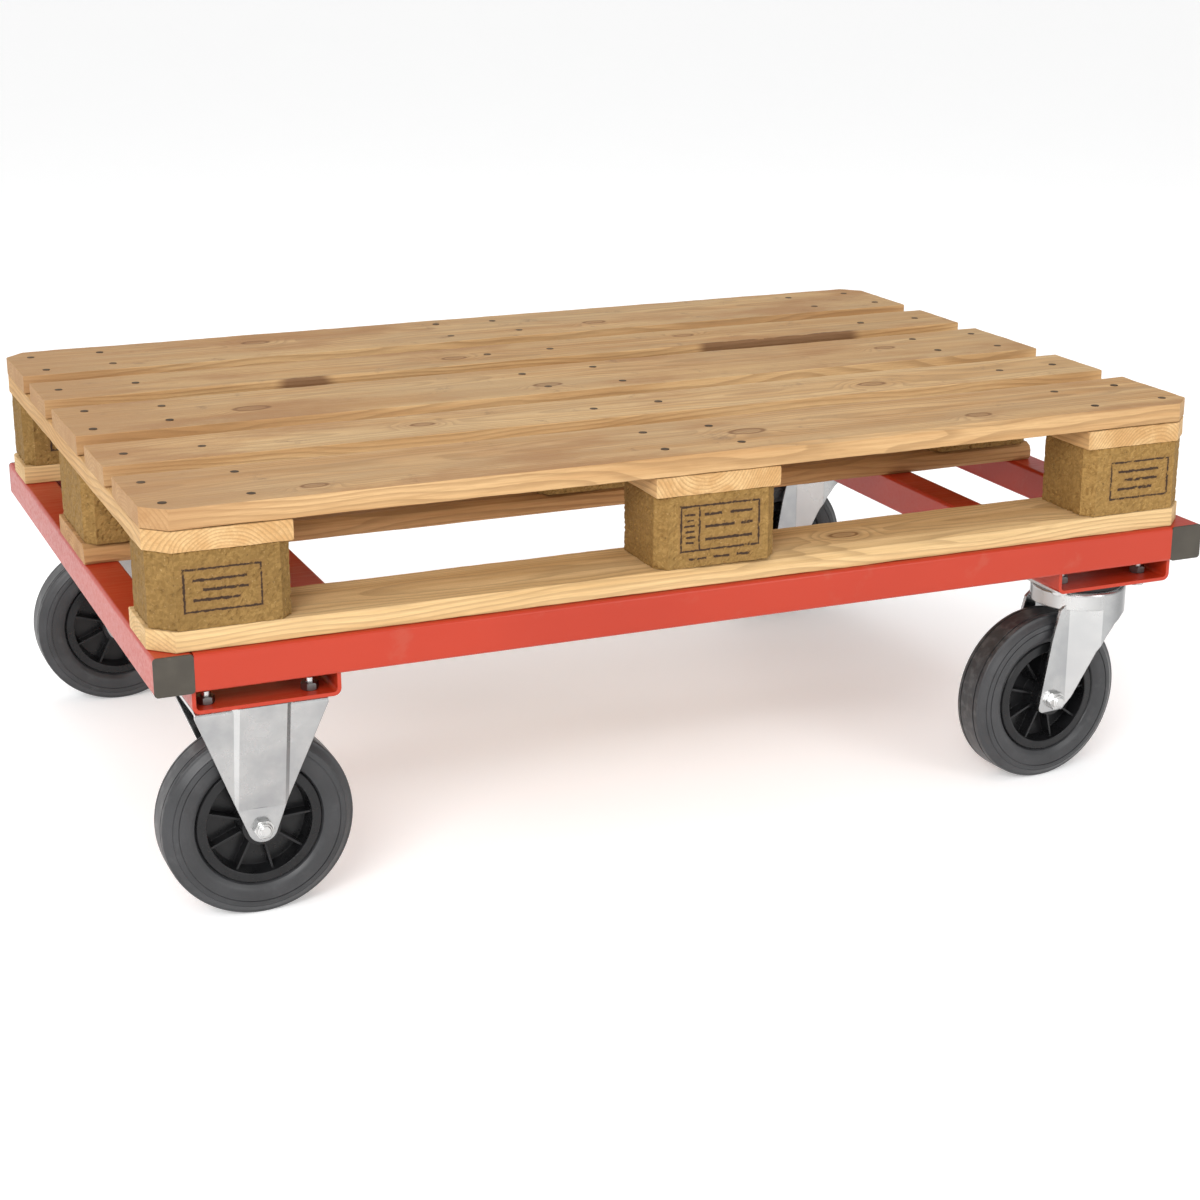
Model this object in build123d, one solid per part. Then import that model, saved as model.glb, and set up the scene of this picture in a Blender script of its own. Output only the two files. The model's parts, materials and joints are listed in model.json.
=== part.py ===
"""Pallet dolly: a welded tube chassis on two fixed and two swivel castors, with a flat wooden pallet on it.

Frame of the part: +Z up, X along the 1200 mm side of the pallet, -Y the front.
The origin is on the floor, under the centre of the chassis.  All sizes are in millimetres.
"""
import os
from math import cos, radians
from random import Random

from build123d import *

# Chassis, from 40 mm square tube
CHASSIS_LENGTH = 1215.0
CHASSIS_DEPTH = 825.0
TUBE = 40.0
TUBE_WALL = 2.5
TUBE_CORNER = 4.0
PLUG_HEAD = 2.0
PLUG_STEM = 22.0
PLUG_WALL = 3.0
PLUG_GAP = 0.2

# Castor channels, folded sheet, open at the top
CHANNEL_WIDTH = 150.0
CHANNEL_LENGTH = 130.0
CHANNEL_HEIGHT = 24.0
CHANNEL_SHEET = 4.0
CHANNEL_BEND = 8.0
CHANNEL_INSET_X = 112.0
CHANNEL_INSET_Y = 70.0

# Castors
CASTOR_HEIGHT = 240.0
FIXED_INSET_X = 107.5
FIXED_INSET_Y = 65.0
SWIVEL_INSET_Y = 75.0
SWIVEL_TURN = 5.0
TRAIL = 53.0
PLATE_X = 135.0
PLATE_Y = 110.0
PLATE_CORNER = 8.0
SHEET = 4.0
HOLES_X = 105.0
HOLES_Y = 80.0
HOLE_RADIUS = 5.5

# Wheels
WHEEL_RADIUS = 100.0
WHEEL_WIDTH = 50.0
RIM_RADIUS = 66.0
RIM_FACE = 21.0
SEAM_DEPTH = 2.5
SEAM_SLOPE = 1.6
RIM_BORE = 55.0
RIM_BED = 60.0
RIM_BED_HALF = 16.0
WEB_HALF = 3.0
BOSS_RADIUS = 22.0
BOSS_HALF = 29.0
BEARING_BORE = 15.0
RIB_COUNT = 9
RIB_WIDTH = 2.5
RIB_FACE = 17.0
RIB_START = 37.0
TREAD_HALF = 9.0
GROOVE_PLACE = 12.0
GROOVE_WIDTH = 1.8
GROOVE_DEPTH = 1.2
SIDE_GROOVES = ((84.0, 25.0), (90.0, 24.2))

# Axle and roller bearing
LEG_INSIDE = 30.0
LEG_END_RADIUS = 15.5
AXLE_RADIUS = 6.0
AXLE_CLEAR = 0.1
SLEEVE_RADIUS = 10.0
RUNNING_GAP = 0.05
ROLLER_COUNT = 9
ROLLER_LENGTH = 40.0
CAGE_HALF_WALL = 0.9
CAGE_LENGTH = 48.0

# Panel in the legs of the fixed fork, below the top plate
PANEL_TOP = 0.5
PANEL_END = 118.0
PANEL_BASE = 33.0
PANEL_FACE = 24.0

# Swivel head
CROWN_RADIUS = 55.0
CROWN_TOP = -11.0
CROWN_CAP = 6.0
CROWN_ROUND = 5.0
LEG_CREASE = 15.5
LEG_ROUND_START = -5.8
SKIRT_TRAIL = -32.0
BOSS_BOTTOM = -7.0
RACE_RADIUS = 38.0
BALL_RADIUS = 4.0
BALL_COUNT = 26
SEAL_INNER = 43.5
SEAL_OUTER = 50.0
SEAL_GAP = 0.1
KINGPIN_RADIUS = 7.0
KINGPIN_HEAD = 12.0

# Threaded fasteners: across flats, head or nut thickness
M10_FLATS = 16.0
M10_HEAD = 6.4
M10_NUT = 8.0
M10_RADIUS = 5.0
M10_TIP = 6.0
M12_FLATS = 19.0
M12_HEAD = 7.5
M12_NUT = 7.0
M12_TIP = 1.0
COLLAR_RADIUS = 8.0
COLLAR_HEIGHT = 3.5
M14_FLATS = 22.0
M14_NUT = 11.0
THREAD_GAP = 0.02
HEX_CHAMFER = 1.2

# Pallet
PALLET_LENGTH = 1200.0
PALLET_DEPTH = 800.0
BOARD = 22.0
BLOCK_HEIGHT = 78.0
WIDE = 145.0
NARROW = 100.0
BLOCK_WIDTH = 140.0
BLOCK_CHAMFER = 13.0
PALLET_CHAMFER = 24.0
PALLET_SHIFT_X = -6.5
PALLET_SHIFT_Y = -6.5
NAIL_HEAD_RADIUS = 4.5
NAIL_HEAD = 1.2
NAIL_RADIUS = 1.8
NAIL_LONG = 70.0
NAIL_SHORT = 38.0
NAIL_SCATTER = 6.0

# Heights above the floor
CHANNEL_BOTTOM = CASTOR_HEIGHT
TUBE_BOTTOM = CHANNEL_BOTTOM + CHANNEL_HEIGHT
TUBE_TOP = TUBE_BOTTOM + TUBE
AXLE_DROP = CASTOR_HEIGHT - WHEEL_RADIUS
LEG_OUTSIDE = LEG_INSIDE + SHEET

# Places on the chassis
END_X = CHASSIS_LENGTH / 2 - TUBE / 2
RAIL_Y = CHASSIS_DEPTH / 2 - TUBE / 2
CHANNEL_X = CHASSIS_LENGTH / 2 - CHANNEL_INSET_X
CROSS_X = CHANNEL_X - CHANNEL_WIDTH / 2 - TUBE / 2 + 3.0
CHANNEL_Y = CHASSIS_DEPTH / 2 - CHANNEL_INSET_Y
FIXED_X = CHASSIS_LENGTH / 2 - FIXED_INSET_X
FIXED_Y = CHASSIS_DEPTH / 2 - FIXED_INSET_Y
SWIVEL_Y = CHASSIS_DEPTH / 2 - SWIVEL_INSET_Y

# Places in the pallet, measured from the middle of its underside
PALLET_PLACE = Pos(PALLET_SHIFT_X, PALLET_SHIFT_Y, TUBE_TOP)
PALLET_COLUMNS = [sign * (PALLET_LENGTH - WIDE) / 2 for sign in (-1, 0, 1)]
BLOCK_ROWS = [sign * (PALLET_DEPTH - NARROW) / 2 for sign in (-1, 0, 1)]
STRINGER_Z = BOARD + BLOCK_HEIGHT
PALLET_HEIGHT = STRINGER_Z + 2 * BOARD
DECK_WIDTHS = (WIDE, NARROW, WIDE, NARROW, WIDE)
DECK_GAP = (PALLET_DEPTH - sum(DECK_WIDTHS)) / 4
DECK_STARTS = [sum(DECK_WIDTHS[:i]) + i * DECK_GAP - PALLET_DEPTH / 2 for i in range(5)]
DECK_MIDDLES = [start + width / 2 for start, width in zip(DECK_STARTS, DECK_WIDTHS)]


def save(name, *solids):
    """Write one sub-part, of one or more solids, to parts/name.step."""
    shape = solids[0] if len(solids) == 1 else Compound(children=list(solids))
    export_step(shape, f"parts/{name}.step")


def plate_holes(height):
    """Four bolt holes of the castor pattern through a plate, centred on z = 0."""
    return [place * Cylinder(HOLE_RADIUS, height) for place in GridLocations(HOLES_X, HOLES_Y, 2, 2)]


def hexagon(flats, thickness, bore=0.0):
    """A hexagon nut or head standing on z = 0, its corners turned off at both ends."""
    prism = extrude(RegularPolygon(flats / 2, 6, major_radius=False), thickness)
    blank = Pos(0, 0, thickness / 2) * Cylinder(flats / 2 / cos(radians(30)), thickness)
    body = prism & chamfer(blank.edges().filter_by(GeomType.CIRCLE), HEX_CHAMFER)
    if bore:
        body -= Pos(0, 0, thickness / 2) * Cylinder(bore, 2 * thickness)
    return body


def square_tube(length):
    """A square tube along X, centred on the origin."""
    outer = RectangleRounded(TUBE, TUBE, TUBE_CORNER)
    inside = TUBE - 2 * TUBE_WALL
    inner = RectangleRounded(inside, inside, TUBE_CORNER - TUBE_WALL)
    return extrude(Plane.YZ * (outer - inner), length / 2, both=True)


def end_plug():
    """A tube plug: its head faces -Y with the face on y = 0, its hollow stem goes in along +Y."""
    head = extrude(Plane.XZ * RectangleRounded(TUBE, TUBE, TUBE_CORNER), -PLUG_HEAD)
    side = TUBE - 2 * TUBE_WALL - 2 * PLUG_GAP
    hollow = side - 2 * PLUG_WALL
    stem = Plane.XZ * (RectangleRounded(side, side, PLUG_WALL) - Rectangle(hollow, hollow))
    return head + extrude(stem, -(PLUG_HEAD + PLUG_STEM))


def castor_channel(shift_x, shift_y):
    """The folded channel that carries a castor: open at the top, its underside on z = 0.

    The bolt holes lie off its middle by shift_x and shift_y.
    """
    bottom = (Align.CENTER, Align.MIN)
    outer = Rectangle(CHANNEL_WIDTH, CHANNEL_HEIGHT, align=bottom)
    outer = fillet(outer.vertices().group_by(Axis.Y)[0], CHANNEL_BEND)
    inner = Rectangle(CHANNEL_WIDTH - 2 * CHANNEL_SHEET, CHANNEL_HEIGHT, align=bottom)
    inner = fillet(inner.vertices().group_by(Axis.Y)[0], CHANNEL_BEND - CHANNEL_SHEET)
    profile = outer - Pos(0, CHANNEL_SHEET) * inner
    channel = extrude(Plane.XZ * profile, CHANNEL_LENGTH / 2, both=True)
    for hole in plate_holes(3 * CHANNEL_SHEET):
        channel -= Pos(shift_x, shift_y, 0) * hole
    return channel


def mounting_bolts():
    """Four bolts up through a castor plate and its channel, the plate's top face on z = 0."""
    reach = SHEET + CHANNEL_SHEET + M10_NUT + M10_TIP
    shank = Pos(0, 0, reach / 2 - SHEET) * Cylinder(M10_RADIUS, reach)
    shank = chamfer(shank.edges().sort_by(Axis.Z)[-1], 1.0)
    bolt = shank + Pos(0, 0, -SHEET - M10_HEAD) * hexagon(M10_FLATS, M10_HEAD)
    return [place * bolt for place in GridLocations(HOLES_X, HOLES_Y, 2, 2)]


def mounting_nuts():
    """The nuts of one castor, lying in its channel."""
    nut = hexagon(M10_FLATS, M10_NUT, M10_RADIUS + THREAD_GAP)
    nut = Pos(0, 0, CHANNEL_SHEET) * nut
    return [place * nut for place in GridLocations(HOLES_X, HOLES_Y, 2, 2)]


def leg_panel():
    """The panel pressed out of a leg of the fixed fork: proud at the top, fading out above the axle."""
    sections = []
    for z, base_y, face_y in ((-PANEL_TOP, 50.5, 60.0), (-PANEL_END, 31.0, 34.2)):
        corners = (
            (-PANEL_BASE, base_y), (PANEL_BASE, base_y),
            (PANEL_FACE, face_y), (-PANEL_FACE, face_y),
        )
        sections.append(Pos(0, 0, z) * make_face(Polyline(*corners, close=True)))
    return loft(sections, ruled=True)


def fixed_fork():
    """Pressed fork of a fixed castor, its top plate's upper face on z = 0."""
    plate_half = PLATE_Y / 2
    knee = -AXLE_DROP + 28.0
    foot = -AXLE_DROP - LEG_END_RADIUS
    points = [
        (0, 0), (plate_half, 0), (LEG_OUTSIDE, knee), (LEG_OUTSIDE, foot - 1),
        (LEG_INSIDE, foot - 1), (LEG_INSIDE, knee), (plate_half - SHEET - 0.8, -SHEET), (0, -SHEET),
    ]
    half = make_face(Polyline(*points, close=True))
    bends = half.vertices().filter_by(lambda v: abs(v.X - plate_half) < 0.01)
    half = fillet(bends, 6.0)
    bends = half.vertices().filter_by(lambda v: abs(v.X - plate_half + SHEET + 0.8) < 0.01)
    half = fillet(bends, 2.0)
    bends = half.vertices().filter_by(lambda v: abs(v.Y - knee) < 0.01)
    half = fillet(bends, 30.0)
    sheet = extrude(Plane.YZ * (half + mirror(half, Plane.YZ)), PLATE_X / 2, both=True)

    top = Pos(0, -PLATE_CORNER / 2) * Rectangle(PLATE_X, PLATE_CORNER)
    end = Pos(0, -AXLE_DROP) * Circle(LEG_END_RADIUS)
    outline = extrude(Plane.XZ * make_hull(top.edges() + end.edges()), PLATE_Y, both=True)
    fork = sheet & outline
    panel = leg_panel() & outline
    fork += panel
    fork += mirror(panel, Plane.XZ)
    for hole in plate_holes(3 * SHEET):
        fork -= hole
    return fork - axle_hole()


def axle_hole():
    """The hole for an axle bolt through both legs of a fork, on the axis y at the axle's height."""
    return Pos(0, 0, -AXLE_DROP) * Rot(90, 0, 0) * Cylinder(AXLE_RADIUS + AXLE_CLEAR, PLATE_Y)


def swivel_plate():
    """Top plate of a swivel castor with the upper race pressed in its underside."""
    plate = extrude(RectangleRounded(PLATE_X, PLATE_Y, PLATE_CORNER), -SHEET)
    boss_height = -SHEET - BOSS_BOTTOM
    boss = Pos(0, 0, BOSS_BOTTOM + boss_height / 2) * Cylinder(SEAL_OUTER, boss_height)
    plate += boss
    for hole in plate_holes(3 * SHEET):
        plate -= hole
    plate -= kingpin_body(0.0)
    return plate - ball_groove()


def ball_groove():
    """The ring-shaped space that the balls run in, a little wider than the balls."""
    middle = (BOSS_BOTTOM + CROWN_TOP) / 2
    return Pos(0, 0, middle) * Torus(RACE_RADIUS, BALL_RADIUS + RUNNING_GAP)


def ball_ring():
    """The balls of a swivel head, in the groove between plate and crown."""
    middle = (BOSS_BOTTOM + CROWN_TOP) / 2
    ball = Pos(RACE_RADIUS, 0, middle) * Sphere(BALL_RADIUS)
    return [Rot(0, 0, 360 * i / BALL_COUNT) * ball for i in range(BALL_COUNT)]


def race_seal():
    """The dust seal round the balls, lying on the crown."""
    low = CROWN_TOP
    high = BOSS_BOTTOM - SEAL_GAP
    ring = Circle(SEAL_OUTER) - Circle(SEAL_INNER)
    return Pos(0, 0, low) * extrude(ring, high - low)


def kingpin_body(tip):
    """A countersunk kingpin, flush with the plate's top face; tip lengthens its lower end."""
    length = M14_NUT + tip - CROWN_TOP + SHEET + 0.3
    head = Pos(0, 0, -SHEET / 2) * Cone(KINGPIN_RADIUS, KINGPIN_HEAD, SHEET)
    return head + Pos(0, 0, -length / 2) * Cylinder(KINGPIN_RADIUS, length)


def kingpin_nut():
    """The nut under the crown, clear of it by a fraction of a millimetre."""
    nut = hexagon(M14_FLATS, M14_NUT, KINGPIN_RADIUS + THREAD_GAP)
    return Pos(0, 0, CROWN_TOP - SHEET - 0.3 - M14_NUT) * nut


def swivel_leg_section():
    """Both legs of a swivel fork in plan: flat beside the wheel, round below the crown."""
    flat_end = -TRAIL - 26.0
    crease = -TRAIL + LEG_CREASE
    join_y = (CROWN_RADIUS ** 2 - LEG_ROUND_START ** 2) ** 0.5
    ring = Circle(CROWN_RADIUS) - Circle(CROWN_RADIUS - SHEET)
    rounds = ring & Pos(LEG_ROUND_START + CROWN_RADIUS, 0) * Rectangle(2 * CROWN_RADIUS, 2 * CROWN_RADIUS)
    blade = Polyline(
        (flat_end, LEG_INSIDE), (flat_end, LEG_OUTSIDE), (crease, LEG_OUTSIDE), (LEG_ROUND_START, join_y),
        (LEG_ROUND_START + 2.2, join_y - 3.35), (crease + 1.2, LEG_INSIDE), close=True,
    )
    flat = make_face(blade)
    return rounds + flat + mirror(flat, Plane.XZ)


def swivel_fork():
    """Pressed fork of a swivel castor: crown with skirt and two trailing legs."""
    middle = CROWN_TOP - CROWN_CAP / 2
    cap = Pos(0, 0, middle) * Cylinder(CROWN_RADIUS, CROWN_CAP)
    cap = fillet(cap.edges().filter_by(GeomType.CIRCLE).sort_by(Axis.Z)[-1], CROWN_ROUND)
    cap -= Pos(0, 0, middle - SHEET) * Cylinder(CROWN_RADIUS - SHEET, CROWN_CAP)

    # Skirt of the trailing side; on the leading side the legs run round the crown
    wall_top = CROWN_TOP - CROWN_CAP
    ring = Circle(CROWN_RADIUS) - Circle(CROWN_RADIUS - SHEET)
    trail_ring = ring & Pos(LEG_ROUND_START - CROWN_RADIUS, 0) * Rectangle(2 * CROWN_RADIUS, 2 * CROWN_RADIUS)
    skirt = Pos(0, 0, wall_top) * extrude(trail_ring, SKIRT_TRAIL - wall_top)

    # Side view of the legs, measured from the axle
    leg_points = (
        (11.0, AXLE_DROP + wall_top), (10.0, 114.0), (2.5, 108.0), (-6.5, 74.0), (-14.2, 32.0),
        (-20.9, -6.0), (-22.0, -14.0), (13.5, -13.5), (22.0, 1.6), (32.7, 29.6), (43.3, 57.4),
        (54.0, 75.0), (66.0, 88.0), (82.0, 96.0), (112.0, 100.0), (112.0, AXLE_DROP + wall_top),
    )
    outline = make_face(Polyline(*leg_points, close=True))
    outline = fillet(outline.vertices().sort_by(Axis.Y)[0:2], 6.0)
    outline = Pos(-TRAIL, -AXLE_DROP) * outline
    legs = Pos(0, 0, wall_top) * extrude(swivel_leg_section(), -2 * AXLE_DROP)
    legs &= extrude(Plane.XZ * outline, PLATE_Y, both=True)

    fork = cap + skirt + legs
    fork -= Cylinder(KINGPIN_RADIUS + RUNNING_GAP, 4 * BOSS_HALF)
    fork -= ball_groove()
    return fork - Pos(-TRAIL, 0, 0) * axle_hole()


def tyre():
    """Solid rubber tyre about the Y axis, with round shoulders and two fine tread grooves."""
    sidewall = Spline(
        (RIM_RADIUS + SEAM_SLOPE, RIM_FACE), (72.0, 23.6), (80.0, WHEEL_WIDTH / 2), (90.0, 24.0), (96.6, 19.0),
        (WHEEL_RADIUS, TREAD_HALF),
        tangents=((1.0, 0.65), (0.0, -1.0)),
    )
    core = Polyline(
        (WHEEL_RADIUS, TREAD_HALF), (WHEEL_RADIUS, 0), (RIM_BED, 0), (RIM_BED, RIM_BED_HALF),
        (RIM_RADIUS, RIM_FACE - SEAM_DEPTH), (RIM_RADIUS + SEAM_SLOPE, RIM_FACE),
    )
    section = make_face(sidewall.edges() + core.edges())
    section -= Pos(WHEEL_RADIUS - 0.3, GROOVE_PLACE) * Rectangle(2 * GROOVE_DEPTH, GROOVE_WIDTH)
    for radius, side in SIDE_GROOVES:
        section -= Pos(radius, side) * Rectangle(1.0, 1.4)
    section += mirror(section, Plane.XZ)
    return revolve(section, Axis.Y)


def hub():
    """Moulded wheel hub about the Y axis: rim, web, boss and ribs on both faces."""
    outline = Polyline(
        (BEARING_BORE, 0), (BEARING_BORE, BOSS_HALF), (BOSS_RADIUS - 2, BOSS_HALF),
        (BOSS_RADIUS, WEB_HALF), (RIM_BORE - 3, WEB_HALF), (RIM_BORE, RIM_FACE + 0.6),
        (RIM_BORE + 1.2, RIM_FACE + 1.0), (RIM_RADIUS - SEAM_SLOPE, RIM_FACE), (RIM_RADIUS, RIM_FACE - SEAM_DEPTH),
        (RIM_BED, RIM_BED_HALF), (RIM_BED, 0),
        close=True,
    )
    section = make_face(outline)
    section += mirror(section, Plane.XZ)
    body = revolve(section, Axis.Y)
    span = RIM_BORE - BOSS_RADIUS + 2
    middle = (RIM_BORE + BOSS_RADIUS - 2) / 2
    rib = Pos(middle, 0, 0) * Box(span, 2 * RIB_FACE, RIB_WIDTH)
    for i in range(RIB_COUNT):
        body += Rot(0, RIB_START + 360 * i / RIB_COUNT, 0) * rib
    return body


def roller_cage():
    """The wheel's roller bearing: a cage and its rollers, about the Y axis."""
    pitch = (SLEEVE_RADIUS + BEARING_BORE) / 2
    radius = (BEARING_BORE - SLEEVE_RADIUS) / 2 - RUNNING_GAP
    upright = Rot(90, 0, 0)
    cage = upright * Cylinder(pitch + CAGE_HALF_WALL, CAGE_LENGTH)
    cage -= upright * Cylinder(pitch - CAGE_HALF_WALL, 2 * CAGE_LENGTH)
    rollers = []
    for i in range(ROLLER_COUNT):
        place = Rot(0, 360 * i / ROLLER_COUNT, 0) * Pos(pitch, 0, 0) * upright
        cage -= place * Cylinder(radius + RUNNING_GAP, ROLLER_LENGTH + 0.4)
        rollers.append(place * Cylinder(radius, ROLLER_LENGTH))
    return [cage] + rollers


def axle_bolt():
    """Axle bolt along Y, head at the back, its tip just through the nut at the front."""
    front = -LEG_OUTSIDE - M12_NUT - COLLAR_HEIGHT - M12_TIP
    length = LEG_OUTSIDE - front
    shank = Pos(0, front + length / 2, 0) * Rot(90, 0, 0) * Cylinder(AXLE_RADIUS, length)
    shank = chamfer(shank.edges().sort_by(Axis.Y)[0], 1.0)
    return shank + Pos(0, LEG_OUTSIDE + M12_HEAD, 0) * Rot(90, 0, 0) * hexagon(M12_FLATS, M12_HEAD)


def axle_nut():
    """The lock nut of the axle bolt, against the front leg: a hexagon with a round collar."""
    bore = AXLE_RADIUS + THREAD_GAP
    nut = hexagon(M12_FLATS, M12_NUT, bore)
    collar = Cylinder(COLLAR_RADIUS, COLLAR_HEIGHT)
    collar = chamfer(collar.edges().sort_by(Axis.Z)[-1], 1.0)
    nut += Pos(0, 0, M12_NUT + COLLAR_HEIGHT / 2) * (collar - Cylinder(bore, 2 * COLLAR_HEIGHT))
    return Pos(0, -LEG_OUTSIDE, 0) * Rot(90, 0, 0) * nut


def axle_sleeve():
    """The tube that the rollers run on, clamped between the fork's legs."""
    sleeve = Cylinder(SLEEVE_RADIUS, 2 * LEG_INSIDE)
    sleeve -= Cylinder(AXLE_RADIUS + AXLE_CLEAR, 4 * LEG_INSIDE)
    return Rot(90, 0, 0) * sleeve


def nail(length):
    """A flat-headed nail, head up, the top of its head on z = 0."""
    head = Pos(0, 0, -NAIL_HEAD / 2) * Cylinder(NAIL_HEAD_RADIUS, NAIL_HEAD)
    return head + Pos(0, 0, -length / 2) * Cylinder(NAIL_RADIUS, length)


def pallet_nails():
    """Every nail of the pallet: down through the deck, and up through the bottom boards."""
    chance = Random(4)
    nails = []
    for x in PALLET_COLUMNS:
        for middle, width in zip(DECK_MIDDLES, DECK_WIDTHS):
            rows = (-40.0, 40.0) if width == WIDE else (0.0,)
            for dy in rows:
                over_block = min(abs(middle + dy - row) for row in BLOCK_ROWS) < NARROW / 2 - NAIL_SCATTER
                length = NAIL_LONG if over_block else NAIL_SHORT
                for dx in (-45.0, 40.0):
                    spot_x = x + dx + chance.uniform(-NAIL_SCATTER, NAIL_SCATTER)
                    spot_y = middle + dy + chance.uniform(-NAIL_SCATTER, NAIL_SCATTER)
                    nails.append(Pos(spot_x, spot_y, PALLET_HEIGHT) * nail(length))
        for y in BLOCK_ROWS:
            for dx in (-40.0, 0.0, 40.0):
                spot_x = x + dx + chance.uniform(-NAIL_SCATTER, NAIL_SCATTER)
                spot_y = y - dx / 3 + chance.uniform(-NAIL_SCATTER, NAIL_SCATTER)
                nails.append(Pos(spot_x, spot_y, 0) * Rot(180, 0, 0) * nail(NAIL_LONG))
    return nails


def pallet_piece(x, y, z, size_x, size_y, size_z, bevel=0.0):
    """One board or block with its nail holes, centred on x and y in the pallet, its underside at z."""
    piece = Box(size_x, size_y, size_z)
    if bevel:
        piece = chamfer(piece.edges().filter_by(Axis.Z), bevel)
    piece = Pos(x, y, z + size_z / 2) * piece
    half_x = PALLET_LENGTH / 2
    half_y = PALLET_DEPTH / 2
    side = PALLET_CHAMFER * 2 ** 0.5
    wedge = Box(side, side, 2 * PALLET_HEIGHT)
    for corner_x in (-half_x, half_x):
        for corner_y in (-half_y, half_y):
            if abs(corner_x - x) < size_x and abs(corner_y - y) < size_y:
                piece -= Pos(corner_x, corner_y, 0) * Rot(0, 0, 45) * wedge
    for one in NAILS:
        spot = one.center()
        inside = abs(spot.X - x) < size_x / 2 and abs(spot.Y - y) < size_y / 2
        box = one.bounding_box()
        if inside and box.max.Z > z + 0.01 and box.min.Z < z + size_z - 0.01:
            piece -= one
    return PALLET_PLACE * piece


os.makedirs("parts", exist_ok=True)
NAILS = pallet_nails()

# Chassis tubes and plugs
tube_middle = (TUBE_BOTTOM + TUBE_TOP) / 2
rail = square_tube(CHASSIS_LENGTH - 2 * TUBE)
save("front_rail", Pos(0, -RAIL_Y, tube_middle) * rail)
save("rear_rail", Pos(0, RAIL_Y, tube_middle) * rail)
end_tube = Rot(0, 0, 90) * square_tube(CHASSIS_DEPTH - 2 * PLUG_HEAD)
save("left_end_tube", Pos(-END_X, 0, tube_middle) * end_tube)
save("right_end_tube", Pos(END_X, 0, tube_middle) * end_tube)
cross_tube = Rot(0, 0, 90) * square_tube(CHASSIS_DEPTH - 2 * TUBE)
save("left_cross_tube", Pos(-CROSS_X, 0, tube_middle) * cross_tube)
save("right_cross_tube", Pos(CROSS_X, 0, tube_middle) * cross_tube)

plugs = []
for x in (-END_X, END_X):
    for turn in (0, 180):
        plugs.append(Pos(x, 0, tube_middle) * Rot(0, 0, turn) * Pos(0, -CHASSIS_DEPTH / 2, 0) * end_plug())
save("end_plugs", *plugs)

# Castor channels and the castors' mounting bolts
castor_spots = (("left", -CHANNEL_X, -FIXED_X, FIXED_Y), ("right", CHANNEL_X, CHANNEL_X, SWIVEL_Y))
mounting = {"bolts": [], "nuts": []}
for end, sign_y in (("front", -1), ("rear", 1)):
    for side, channel_x, castor_x, castor_y in castor_spots:
        channel = castor_channel(castor_x - channel_x, sign_y * (castor_y - CHANNEL_Y))
        save(f"castor_channel_{end}_{side}", Pos(channel_x, sign_y * CHANNEL_Y, CHANNEL_BOTTOM) * channel)
        place = Pos(castor_x, sign_y * castor_y, CASTOR_HEIGHT)
        mounting["bolts"] += [place * bolt for bolt in mounting_bolts()]
        mounting["nuts"] += [place * nut for nut in mounting_nuts()]
for kind, pieces in mounting.items():
    save(f"mounting_{kind}", *pieces)

# Fixed castors, on the left
fixed_places = {"front": Pos(-FIXED_X, -FIXED_Y, CASTOR_HEIGHT), "rear": Pos(-FIXED_X, FIXED_Y, CASTOR_HEIGHT)}
to_axle = Pos(0, 0, -AXLE_DROP)
for end, place in fixed_places.items():
    save(f"fixed_fork_{end}", place * fixed_fork())
save("fixed_axle_bolts", *[place * to_axle * axle_bolt() for place in fixed_places.values()])
save("fixed_axle_nuts", *[place * to_axle * axle_nut() for place in fixed_places.values()])
save("fixed_axle_sleeves", *[place * to_axle * axle_sleeve() for place in fixed_places.values()])

# Swivel castors, on the right, trailing to the left
swivel_places = {"front": Pos(CHANNEL_X, -SWIVEL_Y, CASTOR_HEIGHT), "rear": Pos(CHANNEL_X, SWIVEL_Y, CASTOR_HEIGHT)}
turned = Rot(0, 0, SWIVEL_TURN)
trailed = turned * Pos(-TRAIL, 0, -AXLE_DROP)
for end, place in swivel_places.items():
    save(f"swivel_plate_{end}", place * swivel_plate())
    save(f"swivel_fork_{end}", place * turned * swivel_fork())
    save(f"race_seal_{end}", place * race_seal())
    save(f"race_balls_{end}", *[place * ball for ball in ball_ring()])
    save(f"swivel_axle_bolt_{end}", place * trailed * axle_bolt())
    save(f"swivel_axle_nut_{end}", place * trailed * axle_nut())
    save(f"swivel_axle_sleeve_{end}", place * trailed * axle_sleeve())
save("kingpins", *[place * kingpin_body(2.0) for place in swivel_places.values()])
save("kingpin_nuts", *[place * kingpin_nut() for place in swivel_places.values()])

# Wheels
wheel_places = {f"{end}_left": place * to_axle for end, place in fixed_places.items()}
wheel_places |= {f"{end}_right": place * trailed for end, place in swivel_places.items()}
for name, place in wheel_places.items():
    save(f"tyre_{name}", place * tyre())
    save(f"hub_{name}", place * hub())
    save(f"roller_cage_{name}", *[place * piece for piece in roller_cage()])

# Pallet: deck boards, stringer boards, blocks and bottom boards
for i, width in enumerate(DECK_WIDTHS):
    board = pallet_piece(0, DECK_MIDDLES[i], STRINGER_Z + BOARD, PALLET_LENGTH, width, BOARD)
    save(f"deck_board_{i + 1}", board)
stringers = [pallet_piece(x, 0, STRINGER_Z, WIDE, PALLET_DEPTH, BOARD) for x in PALLET_COLUMNS]
save("stringer_boards", *stringers)
edge_rows = (BLOCK_ROWS[0], BLOCK_ROWS[2])
narrow_spots = [(x, y) for x in PALLET_COLUMNS for y in edge_rows]
narrow_size = (BLOCK_WIDTH, NARROW, BLOCK_HEIGHT, BLOCK_CHAMFER)
narrow_blocks = [pallet_piece(x, y, BOARD, *narrow_size) for x, y in narrow_spots]
save("outer_blocks", *narrow_blocks)
wide_size = (BLOCK_WIDTH, WIDE, BLOCK_HEIGHT, BLOCK_CHAMFER)
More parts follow.
